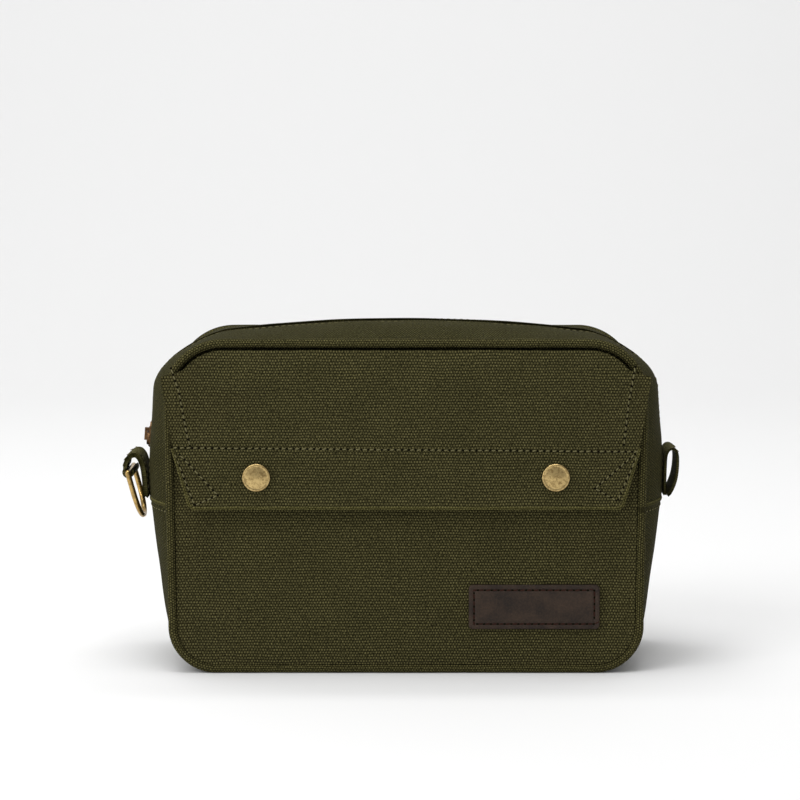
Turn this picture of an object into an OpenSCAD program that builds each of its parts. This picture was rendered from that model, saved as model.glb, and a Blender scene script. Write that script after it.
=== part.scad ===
// Cable organizer pouch: a boxy zip pouch in heavy canvas, with a snapped flap pocket on its front.
// Millimetres. +X right, +Y to the back, +Z up. Origin: centre of the flat underside.

/* [Body] */
// Width over the edge piping, at the base
bag_w = 254; // [220:1:290]
// Height to the top of the edge piping
bag_h = 180; // [165:1:200]
// Depth over the piping, front to back
bag_d = 89; // [80:1:110]
// Corner radius of the outline at the base
base_r = 25; // [18:1:35]
// Corner radius of the outline at the top
top_r = 32; // [24:1:40]
// Extra half width at the top edge
top_flare = 2.5; // [0:0.5:5]
// Height of the side seam where the zip gusset meets the lower gusset
seam_z = 90; // [80:1:100]
// Height of the fold on which the front opens
fold_z = 85; // [75:1:88]

/* [Gusset shape] */
// How far the sides bulge at their fullest
side_bulge = 13; // [6:0.5:16]
// How far the top crowns above the piping
top_bulge = 7.8; // [4:0.2:10]

/* [Cloth and piping] */
// Thickness of the canvas
canvas_t = 1.3; // [0.8:0.1:1.5]
// Thickness of the lining cloth
lining_t = 0.6; // [0.4:0.1:0.8]
// Diameter of the edge piping
piping_d = 5; // [4:0.1:5.2]
// Diameter of the cord inside the piping
piping_cord_d = 3; // [2:0.1:3.2]

/* [Front pocket and flap] */
// Fullness of the front pocket, between its panel and the body
pocket_gap = 4.9; // [4.5:0.1:6]
// Height of the pocket's mouth, under the flap
pocket_top_z = 128; // [118:1:140]
// Height of the flap's bottom edge
flap_bottom_z = 90; // [88:1:95]
// Half width of the flap's bottom edge
flap_bottom_x = 115; // [105:1:120]
// Height of the flap's turned hem
flap_hem = 32; // [25:1:40]
// Half width of the flap at the top of its hem
flap_hem_x = 124; // [118:1:126]
// Half width of the flap's shoulders
shoulder_x = 130.5; // [128:0.5:134]
// Height of the flap's shoulders
shoulder_z = 161; // [155:1:164]

/* [Snaps and label] */
// Diameter of a snap's cap
cap_d = 15; // [12:0.5:17]
// Distance of each snap from the middle
snap_x = 79.5; // [60:0.5:95]
// Height of the snaps
snap_z = 106.5; // [102:0.5:112]
// Width of the leather label
label_w = 70; // [50:1:80]
// Height of the leather label
label_h = 24; // [16:1:30]

/* [Zip] */
// Height of the slider's middle when the zip is closed
slider_z = 123.5; // [122:0.5:125]
// Length of the slider
slider_len = 14; // [12:0.5:15]
// Width of the slider
slider_w = 10; // [9.5:0.5:11]
// Length of the leather pull
pull_len = 31; // [25:1:33]

/* [Tabs and ring] */
// Width of the side tabs
tab_w = 25; // [20:1:28]
// Wire diameter of the D-ring
ring_wire = 3; // [2.5:0.1:3.2]
// Height of the D-ring from its bar's axis to the far wire's axis
ring_drop = 26; // [22:1:28]

/* [Inside] */
// Thickness of the base board
board_t = 1.5; // [1:0.1:1.6]
// Number of elastic cable loops
loop_count = 5; // [3:1:6]
// How far each cable loop stands off the back
loop_rise = 9; // [7:0.5:12]
// Fullness of the inside slip pocket
slip_gap = 6; // [5:0.5:8]

/* [Hidden] */

// Gaps: between sewn neighbours, and between parts that move against each other
sewn_gap = 0.2;
move_gap = 0.3;

// Depth stations, front to back
piping_y = bag_d / 2 - piping_d / 2;
gusset_y = piping_y - piping_d / 2 - move_gap;
panel_y = bag_d / 2 - 0.6;
pocket_back_y = -panel_y + canvas_t;
front_y = pocket_back_y + pocket_gap;
front_lining_y = front_y + canvas_t + sewn_gap;
back_lining_y = panel_y - canvas_t - sewn_gap;

// Insets from the outline
panel_inset = piping_d + 0.3;
lining_inset = panel_inset + 0.8;
gusset_inset = 1.2;

// Zip stations across the depth
zip_edge_y = 6.5;
tape_edge_y = 13;
teeth_y = 3.2;
neck_t = 0.8;
teeth_gap_y = neck_t / 2 + move_gap;
tape_sink = canvas_t + sewn_gap;
tape_t = 0.7;
teeth_sink = 0.6;
teeth_t = 2.4;
zip_end_z = seam_z + 4;

// Steps round each corner
corner_n = 8;

// Colours
olive = [0.25, 0.24, 0.14];
olive_dark = [0.19, 0.18, 0.11];
olive_light = [0.31, 0.30, 0.19];
lining_grey = [0.42, 0.41, 0.36];
maroon = [0.21, 0.14, 0.11];
brass = [0.60, 0.47, 0.25];
black = [0.10, 0.10, 0.10];

// ---- Outline of the pouch, seen from the front: rows of [x, z, outward angle] ----

// The sides lean out a little towards the top
function flare(x, z) = x * (1 + 2 * top_flare * z / (bag_h * bag_w));

function arc_rows(x, z, r, a0, a1) =
    [for (i = [0:corner_n]) let (a = a0 + (a1 - a0) * i / corner_n) [x + r * cos(a), z + r * sin(a), a]];

// From the left side at z0, over the top, down to the right side at z0
function upper_rows(inset, z0, side_n = 1, top_n = 1) =
    let (x = bag_w / 2 - top_r, z = bag_h - top_r, r = top_r - inset)
    concat(
        [for (i = [0:side_n - 1]) [-x - r, z0 + (z - z0) * i / side_n, 180]],
        arc_rows(-x, z, r, 180, 90),
        [for (i = [1:1:top_n - 1]) [-x + 2 * x * i / top_n, z + r, 90]],
        arc_rows(x, z, r, 90, 0),
        [for (i = [side_n - 1:-1:0]) [x + r, z0 + (z - z0) * i / side_n, 0]]);

// From the right side at z1, under the base, up to the left side at z1
function lower_rows(inset, z1, side_n = 1) =
    let (x = bag_w / 2 - base_r, z = base_r, r = base_r - inset)
    concat(
        [for (i = [0:side_n - 1]) [x + r, z1 + (z - z1) * i / side_n, 0]],
        arc_rows(x, z, r, 0, -90),
        arc_rows(-x, z, r, 270, 180),
        [for (i = [side_n - 1:-1:0]) [-x - r, z1 + (z - z1) * i / side_n, 180]]);

function flat_points(rows) = [for (p = rows) [flare(p[0], p[1]), p[1]]];

// ---- Bulge of the gusset ----

// Fullness of the sides by height, as a share of side_bulge. It falls evenly along the slider's travel.
side_fullness = [[0, 0], [30, 0.42], [62, 0.75], [seam_z, 0.98], [108, 1], [bag_h - top_r, 0.74]];
slide_z0 = 108;

function bulge_at(p) =
    let (over = sin(p[2]) * abs(sin(p[2])),
         side = side_bulge * lookup(p[1], side_fullness),
         top = top_bulge * max(0.12, 1 - pow(p[0] / (bag_w * 0.435), 2)))
    over > 0 ? side * pow(1 - over, 2.5) + top * pow(over, 2.5) : side * (1 + over);

function across(y) = 1 - pow(abs(y) / gusset_y, 2.4);

function skin_point(p, y, sink) =
    let (b = bulge_at(p) * across(y) - sink, x = p[0] + b * cos(p[2]), z = p[1] + b * sin(p[2]))
    [flare(x, z), y, z];

function skin_grid(rows, ys, sink) = [for (p = rows) [for (y = ys) skin_point(p, y, sink)]];

function steps(a, b, n) = [for (i = [0:n]) a + (b - a) * i / n];

// ---- Meshes over a grid of rows ----

function quad(a, b, c, d) = [[a, b, c], [a, c, d]];
function turned(faces) = [for (f = faces) [f[2], f[1], f[0]]];

function grid_faces(rows, cols, base, ring) =
    [for (i = [0:rows - 2], j = [0:cols - (ring ? 1 : 2)])
        let (a = base + i * cols, b = a + cols, k = (j + 1) % cols)
        each quad(a + j, a + k, b + k, b + j)];

// A wall between an outer and an inner grid of points: a sheet, or a tube (ring)
module walled(outer, inner, ring = false) {
    rows = len(outer);
    cols = len(outer[0]);
    n = rows * cols;
    last = (rows - 1) * cols;
    end_edges = [for (j = [0:cols - (ring ? 1 : 2)]) let (k = (j + 1) % cols)
        each concat(quad(k, j, n + j, n + k), quad(last + j, last + k, n + last + k, n + last + j))];
    side_edges = ring ? [] : [for (i = [0:rows - 2]) let (a = i * cols, b = a + cols, c = a + cols - 1, d = b + cols - 1)
        each concat(quad(a, b, n + b, n + a), quad(d, c, n + c, n + d))];
    polyhedron(
        concat([for (r = outer) each r], [for (r = inner) each r]),
        concat(grid_faces(rows, cols, 0, ring), turned(grid_faces(rows, cols, n, ring)), end_edges, side_edges));
}

function hoop_grid(rows, y, r, sides) =
    [for (p = rows) [for (k = [0:sides - 1]) let (a = 360 * k / sides, out = r * cos(a),
        x = p[0] + out * cos(p[2]), z = p[1] + out * sin(p[2])) [flare(x, z), y + r * sin(a), z]]];

module piping_cover(rows, y) {
    sides = 8;
    walled(hoop_grid(rows, y, piping_d / 2, sides), hoop_grid(rows, y, piping_cord_d / 2 + 0.1, sides), true);
}

module piping_cord(rows, y) {
    sides = 6;
    grid = hoop_grid(rows, y, piping_cord_d / 2 - 0.05, sides);
    last = (len(rows) - 1) * sides;
    caps = [[for (k = [sides - 1:-1:0]) k], [for (k = [0:sides - 1]) last + k]];
    polyhedron([for (r = grid) each r], concat(grid_faces(len(rows), sides, 0, true), caps));
}

// A strip of the gusset's skin, set "sink" below its outer face
module gusset_strip(rows, ys, sink, t) {
    walled(skin_grid(rows, ys, sink), skin_grid(rows, ys, sink + t));
}

// A flat sheet in the plane of the front, from y to y + t
module panel(points, y, t) {
    translate([0, y + t, 0]) rotate([90, 0, 0]) linear_extrude(t) polygon(points);
}

upper_z = fold_z + move_gap / 2;
lower_z = fold_z - move_gap / 2;

function whole_outline(inset) = flat_points(concat(upper_rows(inset, bag_h / 2), lower_rows(inset, bag_h / 2)));

module upper_half(y, t, inset) {
    panel(flat_points(upper_rows(inset, upper_z)), y, t);
}

module lower_half(y, t, inset) {
    panel(flat_points(lower_rows(inset, lower_z)), y, t);
}

module front_disc(x, z, y, t, d) {
    translate([x, y + t, z]) rotate([90, 0, 0]) cylinder(h = t, d = d, $fn = 48);
}

module at_snaps() {
    for (side = [-1, 1]) translate([side * snap_x, 0, snap_z]) children();
}

post_d = 3;
post_hole_d = post_d + 0.4;

// ---- Body ----

module back_panel() {
    color(olive) panel(whole_outline(panel_inset), panel_y - canvas_t, canvas_t);
}

// All the way round, butted together on the left side
back_piping_rows = concat(
    upper_rows(piping_d / 2, bag_h / 2 + sewn_gap / 2), lower_rows(piping_d / 2, bag_h / 2 - sewn_gap / 2));

module back_piping_cover() {
    color(olive_dark) piping_cover(back_piping_rows, piping_y);
}

module back_piping_cord() {
    color(olive_light) piping_cord(back_piping_rows, piping_y);
}

// Lower gusset: a U of canvas, flat where it lies on its base
module base_gusset() {
    ys = steps(-gusset_y, gusset_y, 8);
    flat_x = bag_w / 2 - base_r;
    color(olive) {
        for (turn = [0, 1]) mirror([turn, 0, 0])
            gusset_strip([for (p = lower_rows(gusset_inset, seam_z - 0.2, 5)) if (p[0] > 0) p], ys, 0, canvas_t);
        translate([-flat_x - 0.05, -gusset_y, gusset_inset])
            cube([2 * flat_x + 0.1, 2 * gusset_y, canvas_t]);
        translate([-flat_x, -gusset_y + 1, 0])
            cube([2 * flat_x, 2 * gusset_y - 2, gusset_inset + 0.1]);
    }
}

// Stiff board that keeps the base flat
module base_board() {
    x = bag_w / 2 - base_r;
    y = gusset_y - 1;
    color(black) translate([-x, -y, gusset_inset + canvas_t + sewn_gap]) cube([2 * x, 2 * y, board_t]);
}

module front_panel_lower() {
    color(olive_dark) lower_half(front_y, canvas_t, panel_inset);
}

module pocket_panel_lower() {
    color(olive) lower_half(-panel_y, canvas_t, panel_inset);
}

module front_piping_cover_lower() {
    color(olive_dark) piping_cover(lower_rows(piping_d / 2, lower_z), -piping_y);
}

module front_piping_cord_lower() {
    color(olive_light) piping_cord(lower_rows(piping_d / 2, lower_z), -piping_y);
}

// ---- Zip gusset and zip: a front and a back half, either side of the teeth ----

function zip_rows(z0) = upper_rows(gusset_inset, z0, 5, 10);

module zip_gusset(side) {
    ys = side < 0 ? steps(-gusset_y, -zip_edge_y, 4) : steps(zip_edge_y, gusset_y, 4);
    color(olive) gusset_strip(zip_rows(seam_z + 0.2), ys, 0, canvas_t);
}

module zip_tape(side) {
    ys = side < 0 ? [-tape_edge_y, -teeth_y - 0.05] : [teeth_y + 0.05, tape_edge_y];
    color(olive_light) gusset_strip(zip_rows(zip_end_z - 2), ys, tape_sink, tape_t);
}

module zip_teeth(side) {
    ys = side < 0 ? [-teeth_y, -teeth_gap_y] : [teeth_gap_y, teeth_y];
    color(brass) gusset_strip(zip_rows(zip_end_z), ys, teeth_sink, teeth_t);
}

module zip_lining(side) {
    ys = side < 0 ? steps(-gusset_y, -tape_edge_y - sewn_gap, 3) : steps(tape_edge_y + sewn_gap, gusset_y, 3);
    color(lining_grey) gusset_strip(zip_rows(seam_z + 0.2), ys, canvas_t + sewn_gap, lining_t);
}

module back_zip_gusset() { zip_gusset(1); }
module front_zip_gusset() { zip_gusset(-1); }
module back_zip_tape() { zip_tape(1); }
module front_zip_tape() { zip_tape(-1); }
module back_zip_teeth() { zip_teeth(1); }
module front_zip_teeth() { zip_teeth(-1); }
module back_zip_lining() { zip_lining(1); }
module front_zip_lining() { zip_lining(-1); }

// Where the middle of the zip lies on the side, measured from the centre of the pouch
function zip_x(z) = skin_point([bag_w / 2 - gusset_inset, z, 0], 0, 0)[0];

// A metal stop clamped on the back tape at each end of the zip
module zip_stops() {
    x = zip_x(zip_end_z);
    color(brass) for (side = [-1, 1])
        translate([side * (x - teeth_sink - teeth_t / 2), 2, zip_end_z - 1.9])
            cube([3, 2.2, 3], center = true);
}

// ---- Linings and the inside ----

module back_lining() {
    color(lining_grey) panel(whole_outline(lining_inset), back_lining_y - lining_t, lining_t);
}

module front_lining_lower() {
    color(lining_grey) lower_half(front_lining_y, lining_t, lining_inset);
}

module front_lining_upper() {
    color(lining_grey) upper_half(front_lining_y, lining_t, lining_inset);
}

base_lining_sink = canvas_t + board_t + 2 * sewn_gap;

module base_lining() {
    ys = steps(front_lining_y + lining_t + sewn_gap, gusset_y, 8);
    color(lining_grey) gusset_strip(lower_rows(gusset_inset, seam_z - 1, 5), ys, base_lining_sink, lining_t);
}

slip_x = 92;
slip_z0 = 9;
slip_z1 = 84;
slip_y = back_lining_y - lining_t - sewn_gap;

// Flat pocket on the back lining: a face held off by its folded side and base edges
module slip_pocket() {
    wall = 1;
    color(lining_grey) difference() {
        translate([-slip_x, slip_y - slip_gap - wall, slip_z0])
            cube([2 * slip_x, slip_gap + wall, slip_z1 - slip_z0]);
        translate([-slip_x + wall, slip_y - slip_gap, slip_z0 + wall])
            cube([2 * slip_x - 2 * wall, slip_gap + 1, slip_z1 - slip_z0]);
    }
}

module slip_pocket_binding() {
    color(black) difference() {
        translate([-slip_x, slip_y - slip_gap - 2, slip_z1 + 0.1]) cube([2 * slip_x, 3, 2]);
        translate([-slip_x - 1, slip_y - slip_gap - 1, slip_z1 - 2]) cube([2 * slip_x + 2, 1, 3]);
    }
}

band_z = 100;
band_h = 25;
band_t = 1.2;
loop_pitch = 34;

// One elastic band, sewn down between the cable loops
module elastic_cable_band() {
    half = loop_count * loop_pitch / 2;
    n = 12;
    // Standing off the back by x, zero where it is sewn down
    bumps = [for (k = [0:loop_count - 1], i = [0:n])
        [-half + (k + i / n) * loop_pitch, loop_rise * pow(sin(180 * i / n), 0.7)]];
    near = [for (p = bumps) [p[0], slip_y - p[1]]];
    far = [for (i = [len(bumps) - 1:-1:0]) [bumps[i][0], slip_y - bumps[i][1] - band_t]];
    color(black) translate([0, 0, band_z]) linear_extrude(band_h) polygon(concat(near, far));
}

// ---- Label ----

label_x = 68.5;
label_z = 36.2;
label_t = 1.8;

module leather_label() {
    r = 2;
    color(maroon) translate([label_x, -panel_y, label_z]) rotate([90, 0, 0]) linear_extrude(label_t)
        hull() for (i = [-1, 1], j = [-1, 1])
            translate([i * (label_w / 2 - r), j * (label_h / 2 - r)]) circle(r, $fn = 32);
}

// ---- Upper front, which folds forward when the zip is open ----

module front_panel_upper() {
    color(olive_dark) upper_half(front_y, canvas_t, panel_inset);
}

module pocket_panel_upper() {
    x = 200;
    color(olive) difference() {
        intersection() {
            upper_half(-panel_y, canvas_t, panel_inset);
            translate([-x, -panel_y - 1, fold_z]) cube([2 * x, canvas_t + 2, pocket_top_z - fold_z]);
        }
        at_snaps() front_disc(0, 0, -panel_y - 1, canvas_t + 2, post_hole_d);
    }
}

module front_piping_cover_upper() {
    color(olive_dark) piping_cover(upper_rows(piping_d / 2, upper_z), -piping_y);
}

module front_piping_cord_upper() {
    color(olive_light) piping_cord(upper_rows(piping_d / 2, upper_z), -piping_y);
}

// ---- Snap fasteners: stud and post on the pocket, cap and socket on the flap ----

stud_flange_t = 0.5;
stud_h = 1.5;
stud_d = 6;
socket_y = -panel_y - stud_flange_t - move_gap;
socket_t = 1.6;
facing_y = socket_y - socket_t;
facing_t = 1;
shell_y = facing_y - facing_t - 0.1;
flap_face_y = shell_y - canvas_t;

// Turns a profile of [radius, distance in front of y] into a round part facing the front
module front_turned(y, profile) {
    translate([0, y, 0]) rotate([90, 0, 0]) rotate_extrude($fn = 64) polygon(profile);
}

module snap_studs() {
    r = stud_d / 2;
    color(brass) at_snaps() front_turned(-panel_y, [
        [0, 0], [6, 0], [6, stud_flange_t], [r - 0.5, stud_flange_t], [r, stud_flange_t + 0.6],
        [r, stud_flange_t + stud_h - 0.5], [r - 0.5, stud_flange_t + stud_h], [0, stud_flange_t + stud_h]]);
}

module snap_posts() {
    color(brass) at_snaps() front_turned(pocket_back_y + 0.8, [
        [0, 0], [5.5, 0], [5.5, 0.8], [post_d / 2, 0.8], [post_d / 2, 0.8 + canvas_t], [0, 0.8 + canvas_t]]);
}

module snap_caps() {
    r = cap_d / 2;
    stem = canvas_t + facing_t + 0.1;
    color(brass) at_snaps() front_turned(flap_face_y, [
        [0, -stem], [post_d / 2, -stem], [post_d / 2, 0], [r - 0.5, 0], [r, 0.4], [r, 1], [r - 0.6, 1.5],
        [r - 1.4, 1.4], [r - 3, 1.8], [r - 5, 2.1], [0, 2.2]]);
}

module snap_sockets() {
    color(brass) at_snaps() difference() {
        front_disc(0, 0, facing_y, socket_t, 11.5);
        front_disc(0, 0, facing_y + 0.4, socket_t, stud_d + 2 * move_gap);
    }
}

// ---- Flap ----

flap_inset = panel_inset + 0.6;
flap_top_z = bag_h - flap_inset;

// Sewn in along the top and round the corners, free from the shoulders down
function flap_outline() =
    let (arch = [for (p = upper_rows(flap_inset, upper_z)) if (p[1] > shoulder_z + 2) [flare(p[0], p[1]), p[1]]])
    concat(
        [[-flap_bottom_x, flap_bottom_z], [-flap_hem_x, flap_bottom_z + flap_hem], [-shoulder_x, shoulder_z]],
        arch,
        [[shoulder_x, shoulder_z], [flap_hem_x, flap_bottom_z + flap_hem], [flap_bottom_x, flap_bottom_z]]);

module flap_shell() {
    color(olive) difference() {
        panel(flap_outline(), flap_face_y, canvas_t);
        at_snaps() front_disc(0, 0, flap_face_y - 1, canvas_t + 2, post_hole_d);
    }
}

// The flap's turned hem, a second layer behind its lower edge
module flap_hem_facing() {
    edge = 1.5;
    top = flap_bottom_z + flap_hem + 2;
    color(olive_dark) difference() {
        panel([[-flap_bottom_x + edge, flap_bottom_z + edge], [-flap_hem_x + edge, top],
               [flap_hem_x - edge, top], [flap_bottom_x - edge, flap_bottom_z + edge]], facing_y - facing_t, facing_t);
        at_snaps() front_disc(0, 0, facing_y - facing_t - 1, facing_t + 2, post_hole_d);
    }
}

// ---- Zip slider and its pull, on the left side ----

slider_lean = atan((zip_x(slide_z0) - zip_x(bag_h - top_r)) / (bag_h - top_r - slide_z0));
plate_t = 1.4;

// Places parts on the zip: local z runs up along the teeth, local -x points out, y to the back
module on_slider() {
    translate([-zip_x(slider_z), 0, slider_z]) rotate([0, slider_lean, 0]) children();
}

// Outline of the slider's plates, seen from the side: two shoulders narrowing to the tail
module slider_plate(x, t) {
    w = slider_w / 2;
    l = slider_len / 2;
    translate([x, 0, 0]) rotate([0, 90, 0]) linear_extrude(t)
        polygon([[-l, -w + 2], [-l + 2, -w], [l - 7, -w], [l - 1, -w + 1.6], [l, -w + 2.6],
                 [l, w - 2.6], [l - 1, w - 1.6], [l - 7, w], [-l + 2, w], [-l, w - 2]]);
}

// Faces of the plates, as distances inside the gusset's outer face. The inner one stands further off, because
// the front teeth drift inwards past it as the mouth opens
outer_plate_sink = teeth_sink - move_gap;
inner_plate_sink = teeth_sink + teeth_t + 0.9;
link_t = 1.2;
link_x = -(plate_t - outer_plate_sink + move_gap + link_t);
bridge_in = move_gap - link_x;
bridge_out = bridge_in + 1.2;
leg_z = 2.6;

module zip_slider() {
    color(brass) on_slider() {
        slider_plate(outer_plate_sink - plate_t, plate_t);
        slider_plate(inner_plate_sink, 1.2);
        translate([outer_plate_sink - 0.1, -neck_t / 2, 1]) cube([inner_plate_sink - outer_plate_sink + 0.2, neck_t, 4]);
        // Bridge for the pull: two legs and a bar
        for (side = [-1, 1]) translate([-bridge_in - 0.2, -0.7, side * leg_z - 0.8])
            cube([bridge_in + outer_plate_sink - 0.2, 1.4, 1.6]);
        translate([-bridge_out, -1.2, -leg_z - 0.8]) cube([bridge_out - bridge_in, 2.4, 2 * leg_z + 1.6]);
    }
}

// The bar that holds the leather, far enough out for the leather to swing past the slider's end
bar_y = slider_len / 2 + leg_z + 3;

module on_pull() {
    on_slider() translate([0, 0, -leg_z]) children();
}

// Flat link: a washer round the bridge's lower leg, and a slot for the leather
module pull_link() {
    color(brass) on_pull() translate([link_x, 0, 0]) rotate([90, 0, 90]) linear_extrude(link_t) difference() {
        union() {
            circle(3.4, $fn = 40);
            translate([2.4, -2]) square([bar_y - 6, 4]);
            translate([bar_y - 4.3, -5.5]) square([5, 11]);
        }
        circle(2.1, $fn = 40);
        translate([bar_y - 3.1, -4.6]) square([2.4, 9.2]);
    }
}

// Leather folded through the slot and sewn to itself
module leather_pull() {
    w = 9;
    ply = 1.2;
    wrap = link_t + 0.2;
    color(maroon) on_pull() translate([link_x + link_t / 2, 0, -w / 2]) linear_extrude(w) difference() {
        union() {
            translate([-ply - wrap / 2, bar_y - 2.2]) square([2 * ply + wrap, 5]);
            translate([-ply, bar_y + 2]) square([2 * ply, pull_len - 3]);
        }
        translate([-wrap / 2, bar_y - 0.8]) square([wrap, 1.6]);
    }
}

// ---- Side tabs and D-ring ----

// Outline of a strap that follows centre points, t thick
function strap_side(pts, off) = [for (i = [0:len(pts) - 1])
    let (a = pts[max(0, i - 1)], b = pts[min(len(pts) - 1, i + 1)], d = (b - a) / norm(b - a))
    [pts[i][0] - d[1] * off, pts[i][1] + d[0] * off]];
function strap_outline(pts, t) =
    let (l = strap_side(pts, t / 2), r = strap_side(pts, -t / 2))
    concat(l, [for (i = [len(r) - 1:-1:0]) r[i]]);

tab_z = seam_z + 0.8;
left_t = 2.6;
right_t = 1.3;
right_foot_r = 1.6;
left_pivot_x = zip_x(slide_z0) + move_gap + left_t / 2;
right_pivot_x = zip_x(slide_z0) + move_gap + right_foot_r;

// The fold that holds the ring's bar, measured from the tab's foot
eye_x = 9.3;
eye_z = 13.2;
bar_hole_d = ring_wire + 0.8;
eye_d = bar_hole_d + left_t;

// Extrudes each side profile across the tab's width; x counts out from the tab's foot
module tab_extrude(side) {
    pivot_x = side < 0 ? left_pivot_x : right_pivot_x;
    for (i = [0:$children - 1]) translate([side * pivot_x, tab_w / 2, tab_z])
        mirror([side < 0 ? 1 : 0, 0, 0]) rotate([90, 0, 0]) linear_extrude(tab_w) children(i);
}

// Left tab: a doubled strap that arches out from the seam and holds the ring's bar in its fold
module left_tab() {
    rise = [[0, 0], [0.4, 7], [1.2, 14.5], [2.5, 19.5], [4.6, 22.3], [7.2, 22.4], [9.6, 20.4],
            [eye_x + 2.2, eye_z + 3]];
    color(olive_dark) difference() {
        tab_extrude(-1) {
            circle(left_t / 2, $fn = 32);
            polygon(strap_outline(rise, left_t));
            translate([eye_x, eye_z]) circle(d = eye_d, $fn = 40);
        }
        translate([-left_pivot_x - eye_x, 0, tab_z + eye_z]) rotate([90, 0, 0])
            cylinder(h = tab_w + 2, d = bar_hole_d, center = true, $fn = 40);
    }
}

// Right tab: an open loop of single strap
module right_tab() {
    bend = [[-0.9, 0.4], [-0.9, 7], [-0.8, 15], [-0.4, 22], [1, 25.2], [3.2, 26], [5.2, 24.6], [6, 21],
            [5.8, 14], [4.6, 7.5], [2.2, 2], [0.4, 0.2]];
    color(olive_dark) tab_extrude(1) {
        circle(right_foot_r, $fn = 32);
        polygon(strap_outline(bend, right_t));
    }
}

ring_tilt = 15.5;
ring_r = tab_w / 2 + 1 + ring_wire / 2;

// D-ring: a straight bar along y, two straight sides and a half round, hanging from the bar
module d_ring() {
    side_len = ring_drop - ring_r;
    color(brass) translate([-left_pivot_x - eye_x, 0, tab_z + eye_z]) rotate([0, -ring_tilt, 0]) {
        rotate([90, 0, 0]) cylinder(h = 2 * ring_r, d = ring_wire, center = true, $fn = 32);
        for (side = [-1, 1]) translate([0, side * ring_r, 0]) {
            sphere(d = ring_wire, $fn = 32);
            translate([0, 0, -side_len]) cylinder(h = side_len, d = ring_wire, $fn = 32);
        }
        translate([0, 0, -side_len]) rotate([0, 90, 0]) rotate([0, 0, -90]) rotate_extrude(angle = 180, $fn = 64)
            translate([ring_r, 0]) circle(d = ring_wire, $fn = 32);
    }
}

back_panel();
back_piping_cover();
back_piping_cord();
base_gusset();
base_board();
front_panel_lower();
pocket_panel_lower();
front_piping_cover_lower();
front_piping_cord_lower();
back_zip_gusset();
back_zip_tape();
back_zip_teeth();
zip_stops();
back_lining();
front_lining_lower();
base_lining();
back_zip_lining();
slip_pocket();
slip_pocket_binding();
elastic_cable_band();
leather_label();
front_panel_upper();
pocket_panel_upper();
front_piping_cover_upper();
front_piping_cord_upper();
front_zip_gusset();
front_zip_tape();
front_zip_teeth();
front_lining_upper();
front_zip_lining();
snap_studs();
snap_posts();
flap_shell();
flap_hem_facing();
snap_caps();
snap_sockets();
zip_slider();
pull_link();
leather_pull();
left_tab();
d_ring();
right_tab();
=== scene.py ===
"""Cable organizer pouch: the soft and detailed pieces, the studio and the camera, in the CAD's frame."""

import math

import bpy
import numpy as np
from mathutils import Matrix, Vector


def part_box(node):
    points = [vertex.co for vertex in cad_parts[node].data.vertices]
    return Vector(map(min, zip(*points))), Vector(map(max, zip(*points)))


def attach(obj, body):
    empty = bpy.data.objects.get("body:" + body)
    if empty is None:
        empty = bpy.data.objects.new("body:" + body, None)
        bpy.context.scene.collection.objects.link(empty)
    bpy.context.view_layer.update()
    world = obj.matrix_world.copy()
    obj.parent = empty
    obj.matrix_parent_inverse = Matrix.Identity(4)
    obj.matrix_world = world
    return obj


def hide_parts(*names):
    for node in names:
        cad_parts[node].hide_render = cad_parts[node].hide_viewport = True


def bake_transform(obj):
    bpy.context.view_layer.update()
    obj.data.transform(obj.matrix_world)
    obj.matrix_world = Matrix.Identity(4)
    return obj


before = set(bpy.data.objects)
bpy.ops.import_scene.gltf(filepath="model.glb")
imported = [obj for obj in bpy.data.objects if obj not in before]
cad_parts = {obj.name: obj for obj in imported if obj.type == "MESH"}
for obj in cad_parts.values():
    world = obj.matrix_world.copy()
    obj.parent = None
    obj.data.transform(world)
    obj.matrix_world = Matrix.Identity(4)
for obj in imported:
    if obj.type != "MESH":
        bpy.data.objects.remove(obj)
MM = 0.001
RNG = np.random.default_rng(11)


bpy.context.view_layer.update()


def box(node):
    """Both corners of a CAD node's box, in mm."""
    lo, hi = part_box(node)
    return np.array(lo) / MM, np.array(hi) / MM


# ---- Sizes, in mm, from the CAD's boxes where a box shows them ----

POCKET_LO, POCKET_HI = box("pocket_panel_lower")
FRONT_LO = box("front_panel_lower")[0]
BACK_HI = box("back_panel")[1]
PIPING_HI = box("back_piping_cover")[1]
GUSSET_HI = box("base_gusset")[1]
SHELL_LO, SHELL_HI = box("flap_shell")
FACING_LO, FACING_HI = box("flap_hem_facing")
CAP_LO, CAP_HI = box("snap_caps")
LABEL_LO, LABEL_HI = box("leather_label")
TEETH_LO = box("front_zip_teeth")[0]
TAPE_LO = box("front_zip_tape")[0]
LEFT_LO, LEFT_HI = box("left_tab")
PULL_LO, PULL_HI = box("leather_pull")
SLIP_LO, SLIP_HI = box("slip_pocket")
BAND_LO, BAND_HI = box("elastic_cable_band")

BAG_H = PIPING_HI[2]
BAG_W = 254.0
FLARE = 5.0 / (BAG_H * BAG_W)
TOP_R = 32.0
BASE_R = 25.0
PIPING_R = 2.5
CORD_R = 1.4
PIPING_Y = PIPING_HI[1] - PIPING_R
GUSSET_Y = GUSSET_HI[1]
GUSSET_INSET = 1.2
PANEL_INSET = 5.0
LINING_INSET = 6.1
SEAM_Z = GUSSET_HI[2]
CANVAS_T = POCKET_HI[1] - POCKET_LO[1]
LINING_T = 0.6
SHOULDER_Z = 161.0
SHOULDER_X = SHELL_HI[0]
HEM_Z = 122.0
HEM_X = 124.0
HEM_BOTTOM_X = 115.0
TAPE_SINK = CANVAS_T + 0.2
POCKET_TOP = 128.0
UPPER_SEAM_Z = SEAM_Z + 0.4
ZIP_STITCH_Y = 9.6
SLIDER_Z = 123.5
ENDS = ((-1, "front"), (1, "back"))
SIDES = ((-1, "left"), (1, "right"))
STRAIGHT_ZIP_Z = 108.0
STRAP_FOOT_Z = 90.8
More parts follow.
